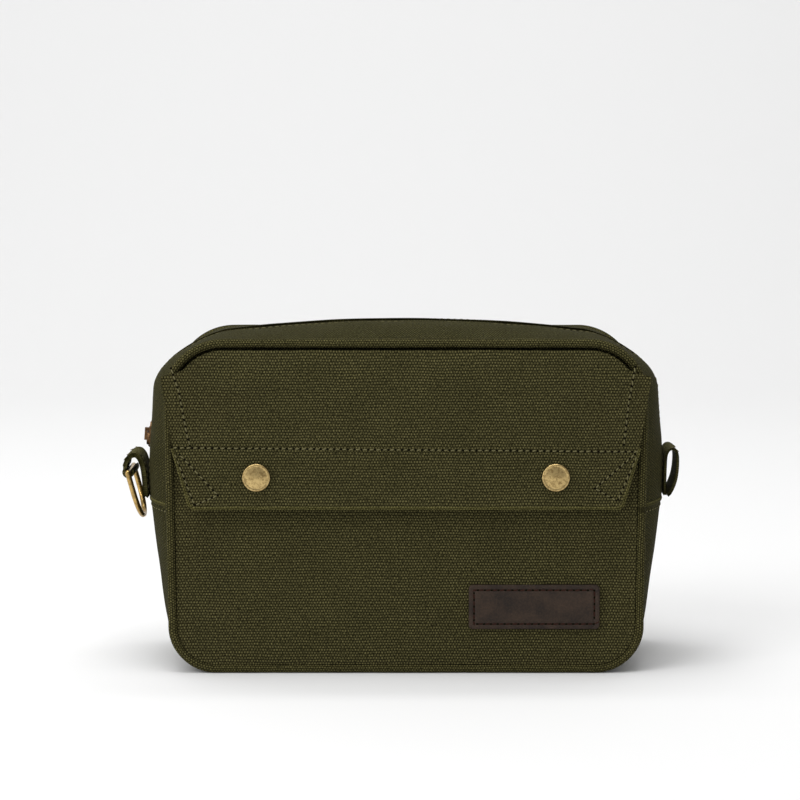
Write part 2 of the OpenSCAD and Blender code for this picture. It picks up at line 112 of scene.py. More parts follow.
FLAP_LOW_Z = 103.0
FRONT = np.array([0.0, -1.0, 0.0])
RIGHT = np.array([1.0, 0.0, 0.0])
UP = np.array([0.0, 0.0, 1.0])


# ---- Outline of the pouch and the skin of its gusset, as in the CAD ----


def flare(x, z):
    return x * (1 + FLARE * z)


def arc(cx, cz, r, a0, a1, n):
    """Rows of (x, z, outward angle) round a corner."""
    a = np.radians(np.linspace(a0, a1, n + 1))
    return np.stack([cx + r * np.cos(a), cz + r * np.sin(a), a], 1)


def line(x0, z0, x1, z1, angle, n):
    """Rows along a straight stretch, without its ends."""
    t = np.linspace(0, 1, n + 1)[1:-1]
    flat = np.full_like(t, math.radians(angle))
    return np.stack([x0 + (x1 - x0) * t, z0 + (z1 - z0) * t, flat], 1)


def upper_rows(inset, z0, step=3.0, corner=24):
    """From z0 on the right side, over the top, to z0 on the left side."""
    hw = BAG_W / 2
    cx = hw - TOP_R
    cz = BAG_H - TOP_R
    r = TOP_R - inset
    side_n = max(2, int((cz - z0) / step))
    top_n = int(2 * cx / step)
    ends = np.array([[hw - inset, z0, 0.0]]), np.array([[inset - hw, z0, math.pi]])
    return np.concatenate([
        ends[0],
        line(hw - inset, z0, hw - inset, cz, 0, side_n),
        arc(cx, cz, r, 0, 90, corner),
        line(cx, cz + r, -cx, cz + r, 90, top_n),
        arc(-cx, cz, r, 90, 180, corner),
        line(inset - hw, cz, inset - hw, z0, 180, side_n),
        ends[1],
    ])


def lower_rows(inset, z1, step=3.0, corner=20):
    """From z1 on the left side, under the base, to z1 on the right side."""
    hw = BAG_W / 2
    cx = hw - BASE_R
    r = BASE_R - inset
    side_n = max(2, int((z1 - BASE_R) / step))
    base_n = int(2 * cx / step)
    ends = np.array([[inset - hw, z1, math.pi]]), np.array([[hw - inset, z1, 2 * math.pi]])
    return np.concatenate([
        ends[0],
        line(inset - hw, z1, inset - hw, BASE_R, 180, side_n),
        arc(-cx, BASE_R, r, 180, 270, corner),
        line(-cx, BASE_R - r, cx, BASE_R - r, 270, base_n),
        arc(cx, BASE_R, r, 270, 360, corner),
        line(hw - inset, BASE_R, hw - inset, z1, 360, side_n),
        ends[1],
    ])


def loop_rows(inset):
    """The whole outline as a closed loop."""
    mid = BAG_H / 2
    return np.concatenate([upper_rows(inset, mid)[:-1], lower_rows(inset, mid)[:-1]])


def bulge_at(rows):
    """How far the gusset stands out of the outline at each row."""
    x, z, a = rows.T
    over = np.sin(a) * np.abs(np.sin(a))
    side = 13 * np.interp(z, [0, 30, 62, 90, 108, 148], [0, 0.42, 0.75, 0.98, 1, 0.74])
    top = 7.8 * np.maximum(0.12, 1 - (x / (BAG_W * 0.435)) ** 2)
    up = np.clip(over, 0, 1)
    return np.where(over > 0, side * (1 - up) ** 2.5 + top * up**2.5, side * (1 + over))


def skin(rows, ys, sink):
    """Grid of points on the gusset, set sink below its outer face: rows along it, columns across it."""
    ys = np.asarray(ys, float)
    sink = np.broadcast_to(np.asarray(sink, float), (len(rows), len(ys)))
    across = 1 - (np.abs(ys) / GUSSET_Y) ** 2.4
    out = bulge_at(rows)[:, None] * across[None, :] - sink
    a = rows[:, 2][:, None]
    x = rows[:, 0][:, None] + out * np.cos(a)
    z = rows[:, 1][:, None] + out * np.sin(a)
    return stacked(flare(x, z), ys, z)


def half_width(z, inset):
    """Half the pouch's width at height z, inside the outline by inset."""
    z = np.asarray(z, float)
    low = np.clip(BASE_R - z, 0, BASE_R - inset)
    high = np.clip(z - (BAG_H - TOP_R), 0, TOP_R - inset)
    cut_low = (BASE_R - inset) - np.sqrt(np.maximum(0, (BASE_R - inset) ** 2 - low**2))
    cut_high = (TOP_R - inset) - np.sqrt(np.maximum(0, (TOP_R - inset) ** 2 - high**2))
    return flare(BAG_W / 2 - inset - cut_low - cut_high, z)


def waves(p, size, seed):
    """Smooth noise between about -1 and 1 at the points p, with features of that size in mm."""
    rng = np.random.default_rng(seed)
    total = np.zeros(p.shape[:-1])
    for _ in range(7):
        direction = rng.normal(size=3)
        direction /= np.linalg.norm(direction)
        k = 2 * math.pi / (size * rng.uniform(0.7, 1.7))
        total = total + np.sin(p @ direction * k + rng.uniform(0, 6.28))
    return total / 3.2


# ---- Mesh helpers: every grid is in mm ----


def stacked(x, y, z):
    """Points from coordinates whose shapes fit together."""
    return np.stack(np.broadcast_arrays(x, y, z), -1)


def distances(points):
    """Distance along a polyline at each of its points."""
    return np.concatenate([[0], np.cumsum(np.linalg.norm(np.diff(points, axis=0), axis=1))])


def evenly(corners, n):
    """n evenly spaced points along a polyline."""
    corners = np.array(corners, float)
    s = distances(corners)
    at = np.linspace(0, s[-1], n)
    return np.stack([np.interp(at, s, column) for column in corners.T], 1)


def new_mesh(name, points, faces, material, uvs=None):
    """A smooth-shaded object from points in mm. uvs are per point, in mm, for the weave."""
    mesh = bpy.data.meshes.new(name)
    mesh.from_pydata((np.asarray(points) * MM).tolist(), [], faces)
    mesh.validate()
    mesh.shade_smooth()
    if uvs is not None:
        layer = mesh.uv_layers.new(name="weave")
        corner = np.zeros(len(mesh.loops), np.int32)
        mesh.loops.foreach_get("vertex_index", corner)
        layer.data.foreach_set("uv", np.asarray(uvs, np.float32)[corner].ravel())
    mesh.materials.append(material)
    obj = bpy.data.objects.new(name, mesh)
    bpy.context.scene.collection.objects.link(obj)
    return obj


def lengths(grid, axis):
    """Distance along the middle line of a grid, in mm."""
    mid = grid.shape[1 - axis] // 2
    return distances(grid[:, mid] if axis == 0 else grid[mid])


def normals_of(grid):
    """Unit normals of a grid of points."""
    return unit(np.cross(np.gradient(grid, axis=0), np.gradient(grid, axis=1)))


def turn_to(grid, direction, at=(5, 5)):
    """1 if the grid's normal at one of its points looks along direction, else -1."""
    return 1 if normals_of(grid)[at] @ direction > 0 else -1


def quads(nu, nv, loop_u=False, loop_v=False, base=0, flip=False):
    """Faces of a grid of points, closed on itself along u or v if asked."""
    faces = []
    for i in range(nu if loop_u else nu - 1):
        for j in range(nv if loop_v else nv - 1):
            a = base + i * nv + j
            b = base + ((i + 1) % nu) * nv + j
            c = base + ((i + 1) % nu) * nv + (j + 1) % nv
            d = base + i * nv + (j + 1) % nv
            faces.append((d, c, b, a) if flip else (a, b, c, d))
    return faces


def rim_of(nu, nv):
    """Indices round the edge of a grid, in order."""
    idx = np.arange(nu * nv).reshape(nu, nv)
    return np.concatenate([idx[0, :-1], idx[:-1, -1], idx[-1, :0:-1], idx[:0:-1, 0]])


def cloth(name, grid, thick, material, uv=None, turn=1):
    """A sheet of cloth with a rounded edge. The grid is its outer face, and turn is -1 if that faces in."""
    nu, nv = grid.shape[:2]
    n = normals_of(grid) * turn
    thick = np.broadcast_to(np.asarray(thick, float), (nu, 1))[..., None]
    outer = grid.reshape(-1, 3)
    inner = (grid - n * thick).reshape(-1, 3)
    count = nu * nv
    faces = quads(nu, nv, flip=turn < 0) + quads(nu, nv, base=count, flip=turn > 0)
    if uv is None:
        uv = np.stack(np.meshgrid(lengths(grid, 0), lengths(grid, 1), indexing="ij"), 2)
    flat = np.asarray(uv, float).reshape(-1, 2)
    run = rim_of(nu, nv)
    mid = (outer[run] + inner[run]) / 2
    side = unit(np.cross(np.roll(mid, -1, 0) - np.roll(mid, 1, 0), n.reshape(-1, 3)[run]) * turn)
    edge = mid + side * np.linalg.norm(outer[run] - inner[run], axis=1, keepdims=True) * 0.4
    for k in range(len(run)):
        q = (k + 1) % len(run)
        a, b = int(run[k]), int(run[q])
        c, d = 2 * count + q, 2 * count + k
        for face in ((a, d, c, b), (d, count + a, count + b, c)):
            faces.append(face if turn > 0 else face[::-1])
    points = np.concatenate([outer, inner, edge])
    return new_mesh(name, points, faces, material, np.concatenate([flat, flat, flat[run]]))


def around(path, out, across, r_out, r_across, sides):
    """Rings of points round a path, each an ellipse along the unit directions out and across."""
    a = np.linspace(0, 2 * math.pi, sides, endpoint=False)[None, :, None]
    return path[:, None] + np.cos(a) * out[:, None] * r_out + np.sin(a) * across[:, None] * r_across


def grid_tube(name, grid, material, loop, radius):
    """A tube from rings of points. radius only sets the scale of its weave."""
    nu, nv = grid.shape[:2]
    faces = quads(nu, nv, loop, True)
    if not loop:
        faces.append(tuple(range(nv)))
        faces.append(tuple(range(nu * nv - 1, nu * nv - nv - 1, -1)))
    u = lengths(grid, 0)
    v = np.arange(nv) / nv * 2 * math.pi * radius
    uv = np.stack(np.meshgrid(u, v, indexing="ij"), 2).reshape(-1, 2)
    return new_mesh(name, grid.reshape(-1, 3), faces, material, uv)


def rings(name, layers, material):
    """A closed solid from rings of points, each with the same count."""
    grid = np.array(layers)
    nu, nv = grid.shape[:2]
    faces = quads(nu, nv, loop_v=True)
    first, last = nu * nv, nu * nv + 1
    for k in range(nv):
        q = (k + 1) % nv
        faces.append((first, k, q))
        faces.append((last, first - nv + q, first - nv + k))
    points = np.concatenate([grid.reshape(-1, 3), grid[:1].mean(1), grid[-1:].mean(1)])
    return new_mesh(name, points, faces, material, points[:, [0, 2]])


def beads(name, centres, along, up, half, material, power=2.0):
    """Small rounded bodies, such as thread stitches or teeth, in one mesh. half is their half sizes."""
    rows, cols = 5, 8
    t = np.linspace(-1, 1, rows)
    turn = np.linspace(0, 2 * math.pi, cols, endpoint=False)
    width = (1 - np.abs(t) ** power * 0.88) ** 0.5
    ball = np.array([[ti, wi * math.cos(a), wi * math.sin(a)] for ti, wi in zip(t, width) for a in turn])
    side = np.cross(up, along)
    shape = quads(rows, cols, loop_v=True)
    shape.append(tuple(range(cols)))
    shape.append(tuple(range(rows * cols - 1, (rows - 1) * cols - 1, -1)))
    half = np.broadcast_to(np.asarray(half, float), (len(centres), 3))
    points = []
    faces = []
    for c, f, s, u, h in zip(centres, along, side, up, half):
        base = len(points) * len(ball)
        points.append(c + ball[:, :1] * f * h[0] + ball[:, 1:2] * s * h[1] + ball[:, 2:] * u * h[2])
        faces += [tuple(base + k for k in face) for face in shape]
    return new_mesh(name, np.concatenate(points), faces, material)


def unit(v):
    """The same directions at length one."""
    v = np.asarray(v, float)
    return v / np.maximum(1e-9, np.linalg.norm(v, axis=-1, keepdims=True))


def resample(points, pitch, loop=False, start=0.0):
    """Evenly spaced points along a polyline, and the directions there."""
    p = np.asarray(points, float)
    if loop:
        p = np.concatenate([p, p[:1]])
    s = distances(p)
    n = max(2, int(round((s[-1] - start) / pitch)))
    at = np.linspace(start, s[-1], n + 1)
    at = at[:-1] if loop else at
    got = np.stack([np.interp(at, s, p[:, k]) for k in range(3)], 1)
    ahead = np.stack([np.interp(np.minimum(at + 0.6, s[-1]), s, p[:, k]) for k in range(3)], 1)
    behind = np.stack([np.interp(np.maximum(at - 0.6, 0), s, p[:, k]) for k in range(3)], 1)
    return got, unit(ahead - behind)


def stitches(name, paths, ups, thread, hole, pitch=3.6, length=2.3, r=0.37, loops=False):
    """Stitches along paths on a surface with outward directions ups, and dark beads at the needle holes
    between them, as painted shade.
    """
    centres, along, up = [], [], []
    holes, hole_up = [], []
    for path, u in zip(paths, ups):
        p, d = resample(path, pitch, loops)
        if np.ndim(u) == 1:
            u = np.broadcast_to(unit(u), p.shape)
        else:
            u = unit(resample_normals(u, len(p), loops))
        side = np.cross(u, d)
        tilt = RNG.normal(0.16, 0.05, (len(p), 1))
        mid = p + d * pitch / 2 if loops else (p + d * pitch / 2)[:-1]
        keep = len(mid)
        centres.append(mid)
        along.append(unit(d + side * tilt)[:keep])
        up.append(u[:keep])
        holes.append(p)
        hole_up.append(u)
    centres = np.concatenate(centres)
    along = np.concatenate(along)
    up = np.concatenate(up)
    half = np.array([length / 2, r, r * 0.75]) * RNG.uniform(0.9, 1.08, (len(centres), 1))
    made = beads(name, centres + up * r * 0.15, along, up, half, thread)
    holes = np.concatenate(holes)
    hole_up = np.concatenate(hole_up)
    any_side = unit(np.cross(hole_up, [0.31, 0.2, 0.93]))
    # Painted shade: flat dark beads where the needle holes are.
    dark = beads(name + "_holes", holes, any_side, hole_up, (0.68, 0.68, 0.16), hole)
    return made, dark


def resample_normals(normals, count, loops):
    """The given normals at as many evenly spaced places."""
    n = np.asarray(normals, float)
    at = np.linspace(0, len(n) - 1, count + (1 if loops else 0))[:count]
    return np.stack([np.interp(at, np.arange(len(n)), n[:, k]) for k in range(3)], 1)


# ---- Materials ----


class Nodes:
    """A small builder for one material's node tree."""

    def __init__(self, name):
        self.material = bpy.data.materials.new(name)
        self.material.use_nodes = True
        self.tree = self.material.node_tree
        self.shader = self.tree.nodes["Principled BSDF"]

    def put(self, socket, value):
        if isinstance(value, bpy.types.NodeSocket):
            self.tree.links.new(value, socket)
        elif isinstance(value, (int, float)):
            socket.default_value = value
        else:
            socket.default_value = (*value, 1.0) if len(socket.default_value) == 4 else value

    def node(self, kind, **inputs):
        node = self.tree.nodes.new("ShaderNode" + kind)
        for name, value in inputs.items():
            self.put(node.inputs[name], value)
        return node

    def math(self, operation, *values):
        node = self.tree.nodes.new("ShaderNodeMath")
        node.operation = operation
        for socket, value in zip(node.inputs, values):
            self.put(socket, value)
        return node.outputs[0]

    def plus(self, a, b):
        return self.math("ADD", a, b)

    def times(self, a, b):
        return self.math("MULTIPLY", a, b)

    def mix(self, factor, a, b):
        node = self.tree.nodes.new("ShaderNodeMix")
        node.data_type = "RGBA"
        self.put(node.inputs[0], factor)
        self.put(node.inputs[6], a)
        self.put(node.inputs[7], b)
        return node.outputs[2]

    def noise(self, vector, scale, detail=3.0, rough=0.55):
        node = self.node("TexNoise", Vector=vector, Scale=scale, Detail=detail, Roughness=rough)
        return node.outputs["Fac"]

    def ramp(self, value, low, high):
        node = self.node("MapRange", **{"Value": value, "From Min": low, "From Max": high})
        node.interpolation_type = "SMOOTHSTEP"
        return node.outputs["Result"]

    def place(self):
        return self.tree.nodes.new("ShaderNodeTexCoord").outputs["Object"]

    def threads(self):
        """The weave's own coordinates, in mm."""
        node = self.tree.nodes.new("ShaderNodeUVMap")
        node.uv_map = "weave"
        parts = self.tree.nodes.new("ShaderNodeSeparateXYZ")
        self.tree.links.new(node.outputs["UV"], parts.inputs[0])
        return parts.outputs[0], parts.outputs[1], node.outputs["UV"]

    def bump(self, height, distance):
        node = self.node("Bump", Height=height, Distance=distance)
        self.put(self.shader.inputs["Normal"], node.outputs["Normal"])

    def finish(self, colour, rough, metal=0.0):
        self.put(self.shader.inputs["Base Color"], colour)
        self.put(self.shader.inputs["Roughness"], rough)
        self.put(self.shader.inputs["Metallic"], metal)
        return self.material


def weave(name, dark, light, row=1.5, dot=1.5, deep=0.0003, soft=1.0):
    """Plain-weave cloth: rows of thread crossings, each row set half a step from the next. Its colour is
    painted shade, darker in the grooves between crossings, over the cloth's own uneven tone.
    """
    n = Nodes(name)
    u, v, uv = n.threads()
    drift = n.noise(uv, 0.035, 2.0)
    v = n.plus(v, n.times(n.math("SUBTRACT", drift, 0.5), 1.6))
    rows = n.math("DIVIDE", v, row)
    odd = n.math("MODULO", n.math("FLOOR", n.plus(rows, 4000.0)), 2.0)
    groove = n.math("POWER", n.math("ABSOLUTE", n.math("SINE", n.times(rows, math.pi))), 0.6)
    turn = n.plus(n.math("DIVIDE", u, dot), n.times(odd, 0.5))
    over = n.math("COSINE", n.times(turn, 2 * math.pi))
    over = n.plus(n.times(over, 0.5), 0.5)
    height = n.times(groove, n.plus(n.times(over, 0.68), 0.32))
    fine = n.noise(uv, 0.9, 2.0)
    broad = n.noise(uv, 0.05, 3.0)
    # Painted shade: the colour falls towards dark in the grooves between thread crossings, and soft sharpens
    # it. The fine and broad noise are the cloth's own uneven tone.
    groove_shade_and_tone = n.times(n.math("POWER", height, soft), n.ramp(fine, 0.15, 0.75))
    groove_shade_and_tone = n.times(groove_shade_and_tone, n.plus(n.times(broad, 0.5), 0.75))
    fuzz = n.plus(height, n.times(n.noise(uv, 4.0, 2.0), 0.35))
    n.bump(fuzz, deep)
    n.put(n.shader.inputs["Specular IOR Level"], 0.05)
    return n.finish(n.mix(groove_shade_and_tone, dark, light), 0.85)


def plain(name, colour, rough, grain=400.0):
    """A plain finish with fine uneven colour and grain."""
    n = Nodes(name)
    p = n.place()
    tone = n.noise(p, grain, 4.0)
    dark = [c * 0.75 for c in colour]
    light = [c * 1.25 for c in colour]
    n.bump(n.noise(p, grain * 2.5, 3.0), 0.0001)
    n.put(n.shader.inputs["Specular IOR Level"], 0.08)
    return n.finish(n.mix(tone, dark, light), rough)


def metal(name, colour, stain, rough, amount, grain=900.0):
    """Brass with uneven dark stains."""
    n = Nodes(name)
    p = n.place()
    spots = n.ramp(n.noise(p, grain, 5.0, 0.65), 0.42, 0.68)
    cloud = n.noise(p, grain / 5, 3.0)
    mask = n.times(n.plus(spots, cloud), amount)
    n.bump(n.noise(p, grain * 1.5, 3.0), 0.00004)
    roughness = n.plus(n.times(mask, 0.25), rough)
    return n.finish(n.mix(mask, colour, stain), roughness, 1.0)


def leather(name, dark, light, rough=0.5):
    """Oiled leather: fine pebbled grain, and cloudy colour."""
    n = Nodes(name)
    p = n.place()
    pebble = n.node("TexVoronoi", Vector=p, Scale=1300.0).outputs["Distance"]
    cloud = n.ramp(n.noise(p, 90.0, 4.0), 0.3, 0.7)
    speck = n.ramp(n.noise(p, 900.0, 3.0), 0.35, 0.75)
    tone = n.plus(n.times(cloud, 0.6), n.times(speck, 0.4))
    n.bump(n.plus(pebble, n.noise(p, 2600.0, 2.0)), 0.00012)
    n.put(n.shader.inputs["Specular IOR Level"], 0.3)
    return n.finish(n.mix(tone, dark, light), rough)


def ribs(name, dark, light, pitch=1.1):
    """Narrow woven ribs, as on elastic and binding tape."""
    n = Nodes(name)
    u, v, _ = n.threads()
    across = n.math("SINE", n.times(u, 2 * math.pi / pitch))
    along = n.math("SINE", n.times(v, 2 * math.pi / 0.7))
    fine = n.plus(n.times(along, 0.15), 0.5)
    height = n.plus(n.times(across, 0.35), fine)
    n.bump(height, 0.0002)
    # Painted shade: the colour follows the ribs' height, darker in the grooves between them.
    return n.finish(n.mix(height, dark, light), 0.8)


def all_materials():
    return {
        "canvas": weave("canvas", (0.0052, 0.0047, 0.0006), (0.190, 0.170, 0.068), deep=0.0004, soft=1.4),
        # Painted shade: the gusset is the same canvas as the panels, given a darker copy of its colours.
        "gusset": weave("shaded_gusset_canvas", (0.0070, 0.0064, 0.0011), (0.094, 0.086, 0.031), deep=0.0004),
        # Painted highlight: folded edges get a lighter copy of the canvas.
        "fold": weave("folded_canvas_highlight", (0.012, 0.011, 0.0014), (0.200, 0.180, 0.066), deep=0.0003),
        "piping": weave("piping_canvas", (0.0048, 0.0044, 0.0006), (0.18, 0.162, 0.062), 1.3, 1.4, soft=1.4),
        "strap": weave("strap_canvas", (0.014, 0.013, 0.002), (0.200, 0.180, 0.070), row=1.2, dot=1.2),
        "lining": weave("lining_cloth", (0.10, 0.095, 0.075), (0.20, 0.19, 0.155), 0.6, 0.6, deep=0.00008),
        "tape": ribs("zip_tape_cloth", (0.030, 0.027, 0.012), (0.085, 0.077, 0.040), 0.9),
        "elastic": ribs("elastic_cloth", (0.008, 0.008, 0.008), (0.030, 0.030, 0.030), 1.3),
        "binding": ribs("binding_cloth", (0.010, 0.010, 0.010), (0.026, 0.026, 0.026), 0.8),
        "thread": plain("thread", (0.140, 0.127, 0.062), 0.9, grain=900.0),
        "dark_thread": plain("dark_thread", (0.030, 0.010, 0.006), 0.6, grain=900.0),
        # Painted shade: the dark inside the needle holes.
        "hole": plain("needle_hole_shade", (0.0045, 0.0040, 0.0008), 1.0, grain=300.0),
        "zip_brass": metal("zip_brass", (0.62, 0.50, 0.29), (0.25, 0.16, 0.08), 0.34, 0.42),
        "slider": metal("slider_brass", (0.24, 0.14, 0.065), (0.07, 0.035, 0.02), 0.4, 0.6),
        "antique": metal("antique_brass", (0.70, 0.52, 0.23), (0.17, 0.105, 0.035), 0.22, 0.55, 700.0),
        "ring": metal("ring_brass", (0.62, 0.42, 0.15), (0.13, 0.072, 0.022), 0.2, 0.5, 300.0),
        "leather": leather("label_leather", (0.010, 0.0052, 0.0028), (0.046, 0.026, 0.0145), 0.62),
        "pull_leather": leather("pull_leather", (0.016, 0.008, 0.004), (0.055, 0.026, 0.013)),
        "cord": plain("cotton_cord", (0.60, 0.57, 0.48), 0.9, grain=500.0),
        "board": plain("board", (0.020, 0.020, 0.020), 0.6),
    }


MAT = all_materials()


# ---- What a piece rides on and stands for ----


def on_body(obj):
    """Stays with the body."""
    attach(obj, "body")


def on_mouth(obj):
    """Bakes its placement into its mesh."""
    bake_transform(obj)


def on_side(obj, side):
    """Of a pair, the front strip is baked in place, the back one stays with the body."""
    if side < 0:
        on_mouth(obj)
    else:
        on_body(obj)


def stands_for(obj, slot, *nodes):
    """Hides the CAD nodes the piece is drawn instead of. slot is not used."""
    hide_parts(*nodes)


# ---- The canvas body ----


def wrinkled(grid, amount, size, seed, fade=None):
    """The grid pushed along its normals by smooth noise."""
    push = waves(grid, size, seed) * amount
    if fade is not None:
        push = push * fade
    return grid + normals_of(grid) * push[..., None]


def gusset(name, rows, ys, sink, thick, material, wrinkle, seed):
    grid = skin(rows, ys, sink)
    near_seam = np.clip(np.abs(np.asarray(ys)) / GUSSET_Y, 0, 1) ** 2
    grid = wrinkled(grid, wrinkle, 26.0, seed, (0.35 + 0.65 * near_seam)[None, :] * seam_fade(rows)[:, None])
    turn = turn_to(grid, [math.cos(rows[0, 2]), 0, math.sin(rows[0, 2])], (0, 0))
    return cloth(name, grid, thick, material, turn=turn)


def seam_fade(rows):
    """Zero at the ends of a gusset, where it is sewn to the next, and low under the base."""
    n = len(rows)
    ends = np.minimum(np.arange(n), np.arange(n)[::-1]) / 6.0
    return np.clip(ends, 0, 1) * np.where(rows[:, 1] < 12, 0.15, 1.0)


def gussets():
    ys = np.linspace(-GUSSET_Y, GUSSET_Y, 41)
    base = gusset("gusset_lower", lower_rows(GUSSET_INSET, SEAM_Z), ys, 0, CANVAS_T, MAT["gusset"], 0.45, 3)
    on_mouth(base)
    stands_for(base, "canvas", "base_gusset")
    rows = upper_rows(GUSSET_INSET, UPPER_SEAM_Z)
    for side, end in ENDS:
        ys = np.sort(side * np.linspace(6.5, GUSSET_Y, 19))
        obj = gusset(f"gusset_zip_{end}", rows, ys, folded_sink(ys), CANVAS_T, MAT["gusset"], 0.5, 5 + side)
        stands_for(obj, "canvas", f"{end}_zip_gusset")
        on_side(obj, side)


def folded_sink(ys):
    """The canvas stands a little proud where it is folded under beside the zip."""
    return -0.35 * np.exp(-((np.abs(ys) - 8.2) / 1.6) ** 2)[None, :]


def hoop(name, y, seed, radius, material):
    """A tube round the whole outline at depth y."""
    rows = loop_rows(PIPING_R)
    a = rows[:, 2]
    path = stacked(flare(rows[:, 0], rows[:, 1]), y, rows[:, 1])
    out = stacked(np.cos(a), 0, np.sin(a))
    across = np.tile(-FRONT, (len(rows), 1))
    r = radius * (1 + waves(path, 22.0, seed)[:, None, None] * 0.035)
    grid = around(path, out, across, r, r, 20)
    return grid_tube(name, grid, material, True, radius)


def pipings():
    for side, end in ENDS:
        nodes = ("_lower", "_upper") if side < 0 else ("",)
        seed = 21 if side < 0 else 22
        cover = hoop(f"piping_{end}", side * PIPING_Y, seed, PIPING_R, MAT["piping"])
        on_side(cover, side)
        stands_for(cover, "canvas", *(f"{end}_piping_cover{part}" for part in nodes))
        cord = hoop(f"piping_cord_{end}", side * PIPING_Y, seed + 2, CORD_R, MAT["cord"])
        on_side(cord, side)
        stands_for(cord, "cotton_cord", *(f"{end}_piping_cord{part}" for part in nodes))


def heights(top, inset):
    """Heights for a panel's rows, closer together round the corners."""
    low = BASE_R - (BASE_R - inset) * np.cos(np.linspace(0.06, math.pi / 2, 14))
    mid = np.linspace(BASE_R, BAG_H - TOP_R, 46)
    high = BAG_H - TOP_R + (TOP_R - inset) * np.sin(np.linspace(0, math.pi / 2 - 0.05, 18))
    z = np.concatenate([low, mid[1:-1], high])
    z = z[z < top - 0.6]
    ends = [inset + 0.02], [min(top, BAG_H - inset - 0.02)]
    return np.concatenate([ends[0], z, ends[1]])


def panel_grid(top, inset, y, nx=81):
    """A flat panel in the front's plane, inside the outline. Columns run left to right."""
    z = heights(top, inset)
    t = np.linspace(-1, 1, nx)
    return stacked(half_width(z, inset)[:, None] * t, y, z[:, None])


def panel(name, inset, y, thick, material, facing, push=0.0, seed=0, top=BAG_H):
    """facing is -1 for a sheet whose outer face looks to the front, 1 to the back."""
    grid = panel_grid(top, inset, y)
    if push:
        edge = np.clip((1 - np.abs(np.linspace(-1, 1, grid.shape[1]))) * 9, 0, 1)
        grid[..., 1] -= facing * np.abs(waves(grid, 70.0, seed)) * push * edge[None, :]
    uv = grid[..., [0, 2]]
    return cloth(name, grid, thick, material, uv=uv, turn=turn_to(grid, -facing * FRONT))


def panels():
    canvas = MAT["canvas"]
    pocket = panel("pocket_front", PANEL_INSET, POCKET_LO[1], CANVAS_T, canvas, -1, 0.35, 31, POCKET_TOP)
    on_mouth(pocket)
    stands_for(pocket, "canvas", "pocket_panel_lower", "pocket_panel_upper")
    front = panel("front_behind_pocket", PANEL_INSET, FRONT_LO[1], CANVAS_T, canvas, -1, 0.3, 32)
    on_mouth(front)
    stands_for(front, "canvas", "front_panel_lower", "front_panel_upper")
    back = panel("back", PANEL_INSET, BACK_HI[1], CANVAS_T, canvas, 1, 0.5, 33)
    on_body(back)
    stands_for(back, "canvas", "back_panel")


# ---- The flap ----


def flap_edge(z):
    """Half the flap's width at height z."""
    arch = half_width(z, PANEL_INSET + 0.9)
    free = np.interp(z, [SHELL_LO[2], HEM_Z, SHOULDER_Z], [HEM_BOTTOM_X, HEM_X, SHOULDER_X - 0.5])
    t = np.clip((z - (SHOULDER_Z - 1.0)) / 4.0, 0, 1)
    return np.where(z > SHOULDER_Z - 1.0, free * (1 - t) ** 1.5 + arch * (1 - (1 - t) ** 1.5), free)


def flap_y(x, z):
    """Depth of the flap's outer face: tucked in at its seam, and lying over the pocket below."""
    down = np.interp(z, [90, 104, 135, 158, 168, 175], [-48.7, -48.7, -48.6, -48.2, -46.7, -44.8])
    low = np.clip((FLAP_LOW_Z - z) / 14, 0, 1)
    corner = np.clip((np.abs(x) - 85) / 35, 0, 1) ** 2
    return down - low**2 * (1.7 + 1.4 * corner)


def on_flap(x, z):
    """Points on the flap's outer face."""
    p = stacked(x, flap_y(x, z), z)
    p[..., 1] += flap_sway(p)
    return p


def flap_grid():
    """The flap's outer face, from its free edge up to its seam."""
    z = np.concatenate([np.linspace(SHELL_LO[2], 160, 48), np.linspace(161, SHELL_HI[2], 16)])
    t = np.linspace(-1, 1, 97)
    return on_flap(flap_edge(z)[:, None] * t, z[:, None])


def on_flap_seam(obj):
    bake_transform(obj)


def flap():
    grid = flap_grid()
    turn = turn_to(grid, FRONT)
    shell = cloth("flap", grid, CANVAS_T, MAT["canvas"], uv=grid[..., [0, 2]], turn=turn)
    on_flap_seam(shell)
    stands_for(shell, "canvas", "flap_shell")
    z = grid[:, 0, 2]
    area = float(np.sum((flap_edge(z)[1:] + flap_edge(z)[:-1]) * np.diff(z))) * MM * MM
    return shell, area


def flap_fold():
    """The rounded fold along the flap's lower edge and up the sides of its hem."""
    low = SHELL_LO[2] + 0.2
    half = [(HEM_BOTTOM_X - 1.2, low), (HEM_BOTTOM_X + 0.3, low + 2.0), (HEM_X, HEM_Z)]
    corners = [(-x, z) for x, z in half[::-1]] + half
    path = on_flap(*evenly(corners, 200).T)
    path[:, 1] += CANVAS_T / 2
    front = np.tile(FRONT, (len(path), 1))
    out = np.cross(unit(np.gradient(path, axis=0)), front)
    # The fold's lighter canvas is a painted highlight along the flap's edge.
    obj = grid_tube("flap_fold", around(path, out, front, 0.95, 0.95, 12), MAT["fold"], False, 0.95)
    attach(obj, "flap")
    return obj


def flap_sway(p):
    """How far the flap falls back from its flat face, at points in mm."""
    flat = np.array(p, float)
    flat[..., 1] = 0
    return np.abs(waves(flat, 85.0, 41)) * 0.55 * np.clip((170 - flat[..., 2]) / 30, 0, 1)


